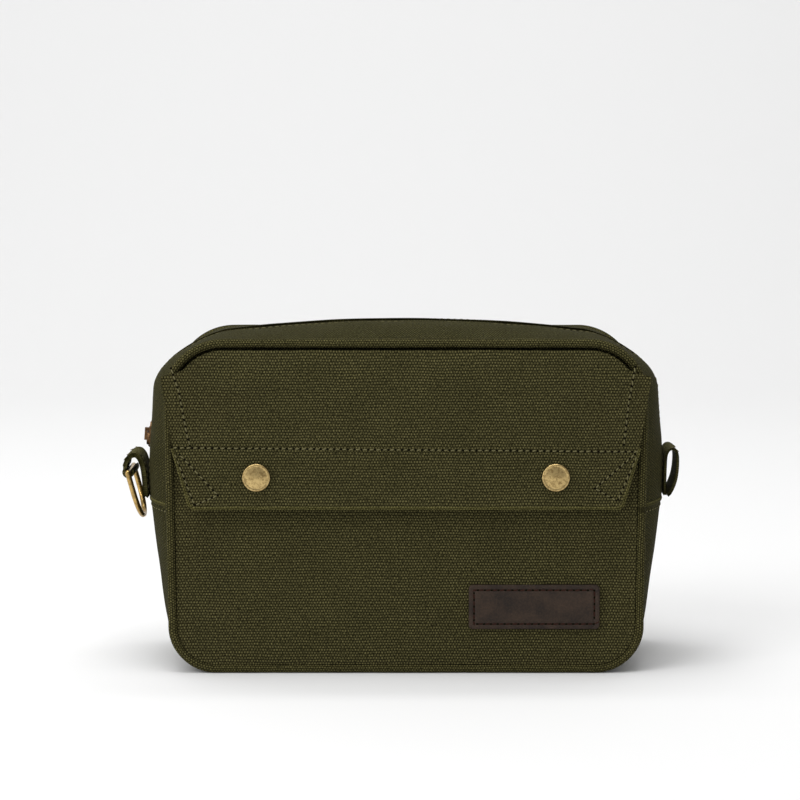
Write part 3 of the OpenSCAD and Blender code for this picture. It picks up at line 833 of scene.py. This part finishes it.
def hem_facing():
    """The turned hem behind the flap's lower edge."""
    z = np.linspace(FACING_LO[2] - 0.6, FACING_HI[2], 26)
    half = np.interp(z, [FACING_LO[2], HEM_Z], [HEM_BOTTOM_X - 1.2, HEM_X - 1.2])
    t = np.linspace(-1, 1, 81)
    x = half[:, None] * t
    z = z[:, None]
    grid = stacked(x, flap_y(x, z) - flap_y(0, 120) + FACING_LO[1] + 0.05, z)
    turn = turn_to(grid, FRONT)
    # The lighter folded canvas here is a painted highlight.
    obj = cloth("flap_turned_hem", grid, 0.9, MAT["fold"], uv=grid[..., [0, 2]], turn=turn)
    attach(obj, "flap")
    stands_for(obj, "canvas", "flap_hem_facing")
    return obj


# ---- Stitching ----


def flap_path(corners, n=24):
    """A path over the flap through corners given as (x, z)."""
    return on_flap(*evenly(corners, n).T)


def sew(name, paths, ups, thread, joiner, **kw):
    """Stitches and their holes, both attached by joiner."""
    made = stitches(name, paths, ups, MAT[thread], MAT["hole"], **kw)
    for obj in made:
        joiner(obj)
    return made


def flap_stitching():
    band = flap_path([(-124.2, 122.4), (-40, 121.6), (60, 120.8), (123.6, 120.2)], 90)
    left_corner = [flap_path([(-120.0, 118.7), (-99.9, 97.0)]), flap_path([(-99.9, 97.0), (-111.8, 91.9)]),
                   flap_path([(-123.0, 119.6), (-112.4, 92.2)])]
    right_corner = [flap_path([(121.4, 119.0), (100.4, 100.6)]), flap_path([(100.4, 100.6), (111.4, 94.2)]),
                    flap_path([(122.6, 118.0), (112.6, 94.6)])]
    lower = [band, *left_corner, *right_corner]
    a = sew("flap_stitches", lower, [FRONT] * len(lower), "thread", lambda o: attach(o, "flap"))
    left = flap_path([(-124.3, 164.6), (-120.2, 152.1), (-116.3, 130.4), (-114.6, 123.4)], 40)
    right = flap_path([(121.3, 165.4), (117.9, 146.8), (115.5, 124.0)], 40)
    b = sew("flap_side_stitches", [left, right], [FRONT] * 2, "thread", on_flap_seam)
    return [*a, *b]


def skin_path(rows, y):
    """A line along the gusset at depth y, and the outward directions on it."""
    grid = skin(rows, [y - 1.0, y, y + 1.0], 0)
    n = normals_of(grid)[:, 1]
    a = rows[:, 2]
    flip = np.sign(np.sum(n * stacked(np.cos(a), 0, np.sin(a)), 1))[:, None]
    return grid[:, 1], n * flip


def zip_stitching():
    rows = upper_rows(GUSSET_INSET, SEAM_Z + 2)
    for side, end in ENDS:
        path, up = skin_path(rows, side * ZIP_STITCH_Y)
        sew(f"zip_stitches_{end}", [path], [up], "thread", on_mouth if side < 0 else on_body)


def across_path(side, z, n=40):
    """A line across the gusset at height z on one side, and the outward directions on it."""
    ys = np.linspace(-37.6, 37.6, n)
    angle = 0.0 if side > 0 else math.pi
    row = np.array([[side * (BAG_W / 2 - GUSSET_INSET), z + dz, angle] for dz in (-1.0, 0.0, 1.0)])
    grid = skin(row, ys, 0)
    n = normals_of(grid)[1]
    flip = np.sign(n[:, :1]) * side
    return grid[1], n * flip


def seam_stitching():
    """Topstitching below each side seam."""
    paths, ups = [], []
    for side in (-1, 1):
        p, n = across_path(side, SEAM_Z - 3.4)
        paths.append(p)
        ups.append(n)
    sew("side_seam_stitches", paths, ups, "thread", on_mouth)


def seam_ridges():
    """The folded edge of canvas that stands up along each side seam."""
    for side, name in SIDES:
        p, n = across_path(side, SEAM_Z + 0.1, 60)
        up = np.tile(UP, (len(p), 1))
        grid = around(p - n * 0.1, n, up, 0.75, 1.1, 10)
        # The lighter folded canvas on the ridge is a painted highlight.
        on_mouth(grid_tube(f"side_seam_{name}", grid, MAT["fold"], False, 0.9))


# ---- Zip ----


def zip_line(z0, sink, y):
    """A line along the zip on the gusset's skin, and the outward directions on it."""
    rows = upper_rows(GUSSET_INSET, z0)
    grid = skin(rows, [y], sink)[:, 0]
    return grid, stacked(np.cos(rows[:, 2]), 0, np.sin(rows[:, 2]))


def zip_tapes():
    rows = upper_rows(GUSSET_INSET, TAPE_LO[2])
    for side, end in ENDS:
        ys = np.sort(side * np.linspace(3.3, 13.0, 8))
        grid = skin(rows, ys, TAPE_SINK)
        turn = turn_to(grid, RIGHT, (0, 0))
        obj = cloth(f"zip_tape_{end}", grid, 0.7, MAT["tape"], turn=turn)
        stands_for(obj, "zip_tape", f"{end}_zip_tape")
        on_side(obj, side)


def zip_teeth():
    """Separate teeth on both tapes. They mesh, but stand apart along the slider's travel."""
    line_at, out = zip_line(TEETH_LO[2] + 0.5, 1.75, 0)
    for side, end in ENDS:
        start = 0.8 if side < 0 else 2.2
        p, _ = resample(line_at, 2.8, start=start)
        up = unit(resample_normals(out, len(p), False))
        apart = (p[:, 0] < 0) & (p[:, 2] < 156)
        inner = np.where(apart, 0.75, -0.35)
        centre = p
        centre[:, 1] += side * (inner + 3.2) / 2
        half = np.stack([(3.2 - inner) / 2, np.full(len(p), 0.62), np.full(len(p), 1.05)], 1)
        along = np.tile([0.0, float(side), 0.0], (len(p), 1))
        obj = beads(f"zip_teeth_{end}", centre, along, up, half, MAT["zip_brass"], 7.0)
        stands_for(obj, "zip_brass", f"{end}_zip_teeth")
        on_side(obj, side)


# ---- Linings and the inside ----


def linings():
    lining = MAT["lining"]
    back = panel("lining_back", LINING_INSET, box("back_lining")[0][1], LINING_T, lining, -1)
    on_body(back)
    stands_for(back, "lining", "back_lining")
    front = panel("lining_front", LINING_INSET, box("front_lining_lower")[1][1], LINING_T, lining, 1)
    on_mouth(front)
    stands_for(front, "lining", "front_lining_lower", "front_lining_upper")
    lo, hi = box("base_lining")
    grid = skin(lower_rows(GUSSET_INSET, hi[2]), np.linspace(lo[1], GUSSET_Y, 30), 3.2)
    turn = turn_to(grid, -RIGHT, (0, 3))
    base = cloth("lining_base", grid, LINING_T, lining, turn=turn)
    on_mouth(base)
    stands_for(base, "lining", "base_lining")
    rows = upper_rows(GUSSET_INSET, UPPER_SEAM_Z)
    for side, end in ENDS:
        ys = np.sort(side * np.linspace(13.2, GUSSET_Y, 12))
        grid = skin(rows, ys, TAPE_SINK)
        turn = turn_to(grid, RIGHT, (0, 0))
        obj = cloth(f"lining_zip_{end}", grid, LINING_T, lining, turn=turn)
        stands_for(obj, "lining", f"{end}_zip_lining")
        on_side(obj, side)


def slip_depth(x, z):
    """How far the slip pocket's face stands off the back lining."""
    half = SLIP_HI[0]
    fall = np.clip(np.abs(x) / half, 0, 1)
    rise = np.clip((z - SLIP_LO[2]) / (SLIP_HI[2] - SLIP_LO[2]), 0, 1)
    return (SLIP_HI[1] - SLIP_LO[1]) * np.sqrt(1 - fall**10) * np.sqrt(1 - (1 - rise) ** 14)


def slip_pocket():
    half = SLIP_HI[0]
    x = half * np.sin(np.linspace(-math.pi / 2, math.pi / 2, 61))
    z = SLIP_LO[2] + (SLIP_HI[2] - SLIP_LO[2]) * (1 - np.cos(np.linspace(0.02, math.pi / 2, 24)))
    zz, xx = np.meshgrid(z, x, indexing="ij")
    grid = np.stack([xx, SLIP_HI[1] - slip_depth(xx, zz), zz], 2)
    turn = turn_to(grid, FRONT, (12, 30))
    face = cloth("slip_pocket_face", grid, 0.7, MAT["lining"], turn=turn)
    on_body(face)
    stands_for(face, "lining", "slip_pocket")
    top = grid[-1]
    out = np.tile(FRONT, (len(top), 1))
    up = np.tile(UP, (len(top), 1))
    tape = around(top + out * -0.35 + up * 0.6, out, up, 0.95, 1.5, 12)
    bound = grid_tube("slip_pocket_bound_edge", tape, MAT["binding"], False, 1.2)
    on_body(bound)
    stands_for(bound, "elastic", "slip_pocket_binding")


def band_path(n=14):
    """The elastic band's outline over the back lining, as (x, y)."""
    half = BAND_HI[0]
    pitch = 2 * half / 5
    rise = BAND_HI[1] - BAND_LO[1] - 1.2
    points = []
    for k in range(5):
        for i in range(n + (k == 4)):
            t = i / n
            points.append((-half + (k + t) * pitch, BAND_HI[1] - 1.2 - rise * math.sin(math.pi * t) ** 0.7))
    return np.array(points)


def elastic_band():
    path = band_path()
    z = np.linspace(BAND_LO[2], BAND_HI[2], 12)
    grid = stacked(path[:, :1], path[:, 1:], z)
    turn = turn_to(grid, FRONT)
    band = cloth("elastic_band", grid, 1.1, MAT["elastic"], turn=turn)
    on_body(band)
    stands_for(band, "elastic", "elastic_cable_band")
    half = BAND_HI[0]
    rows = [np.array([[x0, BAND_HI[1] - 1.3, BAND_LO[2] + 1.0], [x0, BAND_HI[1] - 1.3, BAND_HI[2] - 1.0]])
            for x0 in np.linspace(-half * 0.6, half * 0.6, 4)]
    sew("elastic_band_stitches", rows, [FRONT] * 4, "thread", on_body, pitch=3.0, length=2.1)


# ---- Label, snaps and pull ----


def rounded_rect(hx, hz, r, inset, n=6):
    """A rounded rectangle's outline about the origin, as (x, z)."""
    r = max(0.2, r - inset)
    cx = hx - inset - r
    cz = hz - inset - r
    out = []
    for sx, sz, a0 in ((1, 1, 0), (-1, 1, 90), (-1, -1, 180), (1, -1, 270)):
        for k in range(n + 1):
            a = math.radians(a0 + 90 * k / n)
            out.append((sx * cx + r * math.cos(a), sz * cz + r * math.sin(a)))
    return np.array(out)


def subdivided(outline, pieces):
    """The closed outline with extra points on each side."""
    nxt = np.roll(outline, -1, 0)
    t = np.arange(pieces) / pieces
    return (outline[:, None] + (nxt - outline)[:, None] * t[None, :, None]).reshape(-1, 2)


def label():
    """The leather label: a raised border, a pressed stitching line and a flat middle."""
    lo, hi = LABEL_LO, LABEL_HI
    mid = (lo + hi) / 2
    hx = (hi[0] - lo[0]) / 2
    hz = (hi[2] - lo[2]) / 2
    thick = hi[1] - lo[1]
    steps = [(0.25, 0.0), (0.0, 0.35), (0.0, thick - 0.65), (0.25, thick - 0.2), (0.8, thick), (2.2, thick),
             (2.6, thick - 0.32), (3.1, thick - 0.32), (3.5, thick), (5.0, thick + 0.02),
             (9.0, thick + 0.02)]

    def outline(inset, y):
        flat = subdivided(rounded_rect(hx, hz, 2.2, inset), 4)
        return stacked(mid[0] + flat[:, 0], y, mid[2] + flat[:, 1])

    obj = rings("label", [outline(inset, hi[1] - up) for inset, up in steps], MAT["leather"])
    on_body(obj)
    stands_for(obj, "leather", "leather_label")
    path = outline(2.85, lo[1] + 0.22)
    sew("label_stitches", [path], [FRONT], "dark_thread", on_body, pitch=3.7, length=2.7, r=0.42, loops=True)


def lathe(name, profile, centre, material, n=56):
    """A turned piece about an axis along y. profile is (radius, depth), from the back to the front."""
    a = np.linspace(0, 2 * math.pi, n, endpoint=False)
    circle = stacked(np.cos(a), 0, np.sin(a))
    layers = [np.array(centre) + r * circle + depth * FRONT for r, depth in profile]
    return rings(name, layers, material)


def snap_caps():
    """Both caps: a post through the flap, a rolled rim and a shallow dome."""
    r = (CAP_HI[2] - CAP_LO[2]) / 2
    z = (CAP_HI[2] + CAP_LO[2]) / 2
    x = CAP_HI[0] - r
    depth = SHELL_LO[1] - CAP_LO[1]
    post = SHELL_LO[1] - CAP_HI[1]
    rim = [(0.7, 0.0), (0.1, 0.25), (0.0, 0.75), (0.18, 1.15), (0.55, 1.38), (1.0, 1.42), (1.35, 1.28)]
    dome = [(1.6, 1.22), (2.2, 1.4), (3.2, 1.68), (4.4, 1.92), (5.6, depth - 0.12), (6.7, depth - 0.03)]
    profile = [(1.5, post), (1.5, 0.0), *((r - inset, up) for inset, up in rim + dome), (0.25, depth)]
    for side, name in SIDES:
        obj = lathe(f"snap_cap_{name}", profile, (side * x, SHELL_LO[1], z), MAT["antique"])
        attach(obj, "flap")
        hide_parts("snap_caps")


def zip_x(z):
    """Where the middle of the zip lies on the side at height z."""
    return float(skin(np.array([[BAG_W / 2 - GUSSET_INSET, z, 0.0]]), [0.0], 0)[0, 0, 0])


def slider_frame():
    """Where the slider sits on the zip, and how far it leans."""
    low, high = STRAIGHT_ZIP_Z, BAG_H - TOP_R
    lean = math.atan((zip_x(low) - zip_x(high)) / (high - low))
    return np.array([-zip_x(SLIDER_Z), 0.0, SLIDER_Z]), lean


def pull():
    """Leather folded round the link's bar, with a stitched edge."""
    origin, lean = slider_frame()
    y0, y1 = PULL_LO[1], PULL_HI[1]
    x_mid = -2.0
    z_mid = -2.6
    half_w = 4.5
    stations = [(0.0, 1.1, 0.3), (0.25, 1.6, 0.1), (1.0, 1.9, 0.0), (2.2, 1.95, 0.0), (3.6, 1.85, 0.0),
                (5.2, 1.4, 0.0), (6.6, 1.24, 0.0), (12.0, 1.2, 0.0), (20.0, 1.2, 0.05), (26.0, 1.2, 0.1)]
    end = y1 - y0
    stations += [(end - 3.0, 1.2, 0.15), (end - 1.2, 1.18, 0.7), (end - 0.3, 1.1, 1.5), (end, 0.8, 2.3)]
    layers = []
    for dy, ht, narrow in stations:
        flat = subdivided(rounded_rect(ht, half_w - narrow, min(ht, 0.75), 0.0), 2)
        layers.append(leaned(stacked(x_mid + flat[:, 0], y0 + dy, z_mid + flat[:, 1]), origin, lean))
    obj = rings("pull_leather", layers, MAT["pull_leather"])
    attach(obj, "pull")
    stands_for(obj, "leather", "leather_pull")
    paths, ups = [], []
    outward = leaned(np.array([[-1.0, 0, 0]]), np.zeros(3), lean)[0]
    for face, up in ((x_mid - 1.18, outward), (x_mid + 1.18, -outward)):
        loop = [(16.2, -3.2), (y1 - 2.6, -2.9), (y1 - 2.6, 2.9), (16.2, 3.2), (16.2, -3.2)]
        local = np.array([[face, y, z_mid + w] for y, w in loop])
        paths.append(leaned(local, origin, lean))
        ups.append(up)
    on_pull = lambda o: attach(o, "pull")
    sew("pull_stitches", paths, ups, "dark_thread", on_pull, pitch=2.9, length=2.0, r=0.3)


def leaned(local, origin, lean):
    """Points in the slider's own axes, put in the frame."""
    c, s = math.cos(lean), math.sin(lean)
    x = local[:, 0] * c + local[:, 2] * s
    z = -local[:, 0] * s + local[:, 2] * c
    return np.stack([x, local[:, 1], z], 1) + origin


# ---- Straps ----


def spline(points, n):
    """A smooth path through points, by Catmull-Rom."""
    p = np.array(points, float)
    p = np.concatenate([2 * p[:1] - p[1:2], p, 2 * p[-1:] - p[-2:-1]])
    out = []
    for i in range(1, len(p) - 2):
        for t in np.linspace(0, 1, n, endpoint=False):
            a, b, c, d = p[i - 1], p[i], p[i + 1], p[i + 2]
            out.append(0.5 * (2 * b + (c - a) * t + (2 * a - 5 * b + 4 * c - d) * t**2
                              + (3 * b - a - 3 * c + d) * t**3))
    out.append(p[-2])
    return np.array(out)


def strap_grid(side, pivot, path, offset, half_w, cols=15):
    """A strap's face: the path runs out from and up from the pivot, shifted sideways by offset."""
    d = unit(np.gradient(path, axis=0))
    face = path + np.stack([-d[:, 1], d[:, 0]], 1) * offset
    ys = np.linspace(-half_w, half_w, cols)
    grid = stacked(pivot[0] + side * face[:, :1], ys, pivot[1] + face[:, 1:])
    up = stacked(side * -d[:, 1], 0, d[:, 0])
    return grid, up


def strap(name, side, pivot, path, thick, seed):
    """A strap of canvas with its path, a rounded edge, and a slight waviness."""
    half_w = (LEFT_HI[1] - LEFT_LO[1]) / 2
    thick = np.broadcast_to(np.asarray(thick, float), (len(path),))[:, None]
    grid, up = strap_grid(side, pivot, path, thick / 2, half_w)
    grid = grid + normals_of(grid) * (waves(grid, 18.0, seed) * 0.12)[..., None]
    turn = turn_to(grid, up[3], (3, 3))
    obj = cloth(name, grid, thick, MAT["strap"], turn=turn)
    attach_strap(obj)
    return obj, grid, up


def attach_strap(obj):
    """Sewn into the side seam at its foot; bakes its placement into its mesh."""
    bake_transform(obj)


def edge_sewing(name, grid, up, first, last, inset=2):
    """Topstitching along both edges of a strap's face."""
    cols = (inset, grid.shape[1] - 1 - inset)
    paths = [grid[first:last, c] + up[first:last] * 0.05 for c in cols]
    joiner = lambda o: attach_strap(o)
    sew(name, paths, [up[first:last]] * 2, "thread", joiner, pitch=3.2, length=2.2, r=0.36)


def left_strap():
    """Rises from the side seam, arches out, and folds round the D-ring's bar."""
    pivot = (-142.04, STRAP_FOOT_Z)
    rise = [(0, -1.0), (0.1, 3), (0.4, 7), (1.2, 14.5), (2.5, 19.5), (4.6, 22.3), (7.2, 22.4), (9.4, 20.6),
            (10.8, 18.2)]
    eye = np.array([9.3, 13.2])
    turn = np.radians(range(40, -221, -20))
    round_bar = [tuple(eye + 2.6 * np.array([math.cos(a), math.sin(a)])) for a in turn]
    path = spline(rise + round_bar, 6)
    turns = np.arange(len(path)) / 6.0
    thick = np.interp(turns, [len(rise) - 2, len(rise) + 1], [2.6, 1.25])
    obj, grid, up = strap("strap_left", -1, pivot, path, thick, 61)
    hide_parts("left_tab")
    edge_sewing("strap_left_stitches", grid, up, 2, 6 * len(rise))


def right_strap():
    """An open loop that starts and ends at the side seam."""
    pivot = (142.34, STRAP_FOOT_Z)
    loop = [(-0.9, 0.4), (-0.9, 7), (-0.8, 15), (-0.4, 22), (1, 25.2), (3.2, 26), (5.2, 24.6), (6, 21),
            (5.8, 14), (4.6, 7.5), (2.2, 2), (0.4, 0.2)]
    path = spline(loop, 6)
    obj, grid, up = strap("strap_right", 1, pivot, path, 1.3, 62)
    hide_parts("right_tab")
    edge_sewing("strap_right_stitches", grid, up, 34, -4)


# ---- CAD nodes that are shown as they are ----


def shown_nodes():
    finishes = {
        "zip_slider": "slider", "pull_link": "slider", "zip_stops": "zip_brass", "d_ring": "ring",
        "snap_studs": "antique", "snap_posts": "antique", "snap_sockets": "antique", "base_board": "board",
    }
    bevels = {
        "zip_slider": 0.25, "pull_link": 0.2, "zip_stops": 0.3, "base_board": 0.4, "snap_sockets": 0.15,
        "snap_studs": 0.15,
    }
    for node, finish in finishes.items():
        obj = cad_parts[node]
        obj.data.materials.clear()
        obj.data.materials.append(MAT[finish])
        if node in bevels:
            bevel = obj.modifiers.new("edges", "BEVEL")
            bevel.width = bevels[node] * MM
            bevel.segments = 2
            bevel.limit_method = "ANGLE"
            bevel.angle_limit = math.radians(40)


# ---- Studio ----


def backdrop():
    """A pale sheet that lies flat and curves up behind."""
    y = np.concatenate([np.linspace(-3.0, 1.2, 8), 1.2 + np.sin(np.linspace(0.1, math.pi / 2, 14)) * 1.2])
    z = np.concatenate([np.zeros(8), 1.2 - np.cos(np.linspace(0.1, math.pi / 2, 14)) * 1.2])
    y = np.append(y, 2.4)
    z = np.append(z, 4.0)
    x = np.linspace(-4, 4, 5)
    points = [(px, py, pz) for py, pz in zip(y, z) for px in x]
    faces = quads(len(y), len(x), flip=True)
    obj = new_mesh("backdrop", np.array(points) / MM, faces, floor_material())


def floor_material():
    n = Nodes("backdrop_paper")
    n.put(n.shader.inputs["Specular IOR Level"], 0.1)
    return n.finish((0.79, 0.79, 0.79), 0.9)


def area_light(name, place, target, size, power):
    data = bpy.data.lights.new(name, "AREA")
    data.shape = "RECTANGLE"
    data.size, data.size_y = size
    data.energy = power
    obj = bpy.data.objects.new(name, data)
    obj.location = place
    obj.rotation_euler = (Vector(target) - Vector(place)).to_track_quat("-Z", "Y").to_euler()
    bpy.context.scene.collection.objects.link(obj)


def lights():
    """A pale world, a key from the front left, one above, a low one from the left, and one for the wall."""
    world = bpy.data.worlds.new("studio")
    bpy.context.scene.world = world
    world.use_nodes = True
    sky = world.node_tree.nodes["Background"].inputs
    sky["Color"].default_value = (1.0, 1.0, 1.0, 1.0)
    sky["Strength"].default_value = 0.45
    middle = (0, 0, 0.09)
    area_light("key", (-1.2, -1.3, 1.75), middle, (1.0, 1.0), 16)
    area_light("overhead", (-0.15, -0.2, 1.8), middle, (1.2, 0.8), 17)
    area_light("side", (-1.35, -0.75, 0.42), middle, (0.35, 0.9), 5)
    area_light("wall", (0, 0.7, 2.6), (0, 2.3, 0.9), (3.5, 0.6), 30)


def camera():
    data = bpy.data.cameras.new("camera")
    cam = bpy.data.objects.new("camera", data)
    bpy.context.scene.collection.objects.link(cam)
    elevation = math.radians(4.84)
    distance = 1.305
    aim = Vector((-0.0032, POCKET_LO[1] * MM, 0.19))
    back = Vector((0, -math.cos(elevation), math.sin(elevation)))
    cam.location = aim + back * distance
    cam.rotation_euler = (-back).to_track_quat("-Z", "Y").to_euler()
    data.lens = 110.9
    data.shift_y = -0.1
    data.sensor_width = 36
    bpy.context.scene.camera = cam
    bpy.context.scene.view_settings.view_transform = "Standard"


# ---- Everything, in order ----


gussets()
pipings()
panels()
shell, flap_area = flap()
facing = hem_facing()
fold = flap_fold()
flap_threads = flap_stitching()
zip_stitching()
seam_stitching()
seam_ridges()
zip_tapes()
zip_teeth()
linings()
slip_pocket()
elastic_band()
label()
snap_caps()
pull()
left_strap()
right_strap()
shown_nodes()
backdrop()
lights()
camera()
